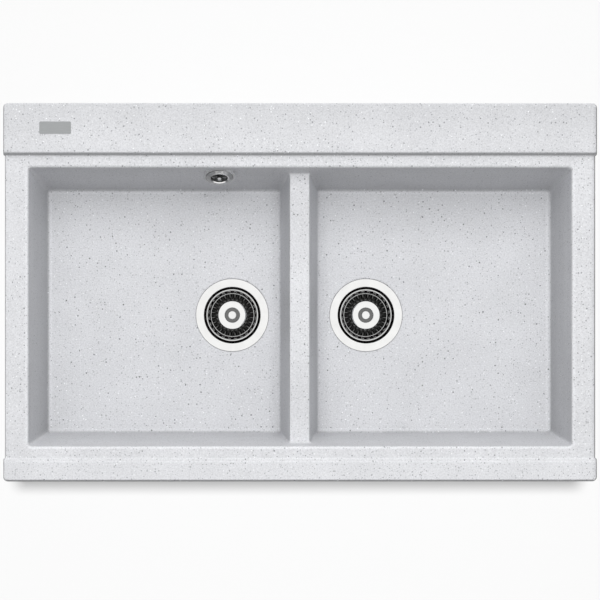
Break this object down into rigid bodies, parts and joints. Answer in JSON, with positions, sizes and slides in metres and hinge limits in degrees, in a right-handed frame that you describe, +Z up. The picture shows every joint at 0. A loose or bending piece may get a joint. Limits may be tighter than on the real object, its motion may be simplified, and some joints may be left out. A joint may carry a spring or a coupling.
{
  "type": "kitchen sink",
  "caption": "Drop-in granite composite kitchen sink with two rectangular bowls, a low divider, a raised tap ledge, basket strainer wastes, an overflow and swinging rim clips.",
  "frame": {"origin": "middle of the outline, on the plane where the rim's underside rests on the worktop", "axes": "+X to the right along the sink, +Y to the tap ledge at the back, +Z up"},
  "size_m": [0.78, 0.497, 0.282],
  "materials": {
    "granite": "fine matte composite with small grey and pale specks",
    "badge_metal": "satin, blank",
    "bright_steel": "polished",
    "rubber": "matte",
    "plastic": "moulded",
    "hose_plastic": "ribbed, moulded",
    "zinc_steel": "zinc plated",
    "brass": "plain"
  },
  "bodies": {
    "sink": {"sink_rim": "granite", "sink_ledge_left": "granite", "sink_ledge_middle": "granite", "sink_ledge_right": "granite", "sink_bowls": "granite", "badge_plate": "badge_metal", "strainer_flange_left": "bright_steel", "strainer_flange_right": "bright_steel", "flange_gasket_left": "rubber", "flange_gasket_right": "rubber", "floor_gasket_left": "rubber", "floor_gasket_right": "rubber", "waste_body_left": "plastic", "waste_body_right": "plastic", "waste_hub_left": "plastic", "waste_hub_right": "plastic", "waste_outlet_left": "plastic", "waste_outlet_right": "plastic", "overflow_inlet": "plastic", "clamp_screw_left": "bright_steel", "clamp_screw_right": "bright_steel", "overflow_rosette": "bright_steel", "overflow_screw": "bright_steel", "overflow_gasket": "rubber", "overflow_housing": "plastic", "overflow_hose": "hose_plastic", "hose_clips": "zinc_steel", "clip_inserts": "brass", "clip_screws": "zinc_steel"},
    "basket_left_body": {"basket_left": "bright_steel", "basket_cap_left": "bright_steel", "basket_post_left": "bright_steel", "basket_seal_left": "rubber"},
    "basket_right_body": {"basket_right": "bright_steel", "basket_cap_right": "bright_steel", "basket_post_right": "bright_steel", "basket_seal_right": "rubber"},
    "clip_right_back_body": {"clip_right_back": "zinc_steel"},
    "clip_right_front_body": {"clip_right_front": "zinc_steel"},
    "clip_left_back_body": {"clip_left_back": "zinc_steel"},
    "clip_left_front_body": {"clip_left_front": "zinc_steel"},
    "clip_back_right_body": {"clip_back_right": "zinc_steel"},
    "clip_back_left_body": {"clip_back_left": "zinc_steel"},
    "clip_front_right_body": {"clip_front_right": "zinc_steel"},
    "clip_front_left_body": {"clip_front_left": "zinc_steel"}
  },
  "joints": [
    {"name": "basket_left_lift", "type": "slide", "parent": "sink", "child": "basket_left_body", "axis": [0, 0, 1], "range_m": [0, 0.25]},
    {"name": "basket_right_lift", "type": "slide", "parent": "sink", "child": "basket_right_body", "axis": [0, 0, 1], "range_m": [0, 0.25]},
    {"name": "clip_right_back_swing", "type": "hinge", "parent": "sink", "child": "clip_right_back_body", "pos_m": [0.37187, 0.105, -0.043], "axis": [0, 0, 1], "range_deg": [0, 90]},
    {"name": "clip_right_front_swing", "type": "hinge", "parent": "sink", "child": "clip_right_front_body", "pos_m": [0.37187, -0.105, -0.043], "axis": [0, 0, -1], "range_deg": [0, 90]},
    {"name": "clip_left_back_swing", "type": "hinge", "parent": "sink", "child": "clip_left_back_body", "pos_m": [-0.37187, 0.105, -0.043], "axis": [0, 0, -1], "range_deg": [0, 90]},
    {"name": "clip_left_front_swing", "type": "hinge", "parent": "sink", "child": "clip_left_front_body", "pos_m": [-0.37187, -0.105, -0.043], "axis": [0, 0, 1], "range_deg": [0, 90]},
    {"name": "clip_back_right_swing", "type": "hinge", "parent": "sink", "child": "clip_back_right_body", "pos_m": [0.19, 0.2285, -0.043], "axis": [0, 0, -1], "range_deg": [0, 90]},
    {"name": "clip_back_left_swing", "type": "hinge", "parent": "sink", "child": "clip_back_left_body", "pos_m": [-0.19, 0.2285, -0.043], "axis": [0, 0, 1], "range_deg": [0, 90]},
    {"name": "clip_front_right_swing", "type": "hinge", "parent": "sink", "child": "clip_front_right_body", "pos_m": [0.19, -0.2285, -0.043], "axis": [0, 0, 1], "range_deg": [0, 90]},
    {"name": "clip_front_left_swing", "type": "hinge", "parent": "sink", "child": "clip_front_left_body", "pos_m": [-0.19, -0.2285, -0.043], "axis": [0, 0, -1], "range_deg": [0, 90]}
  ]
}
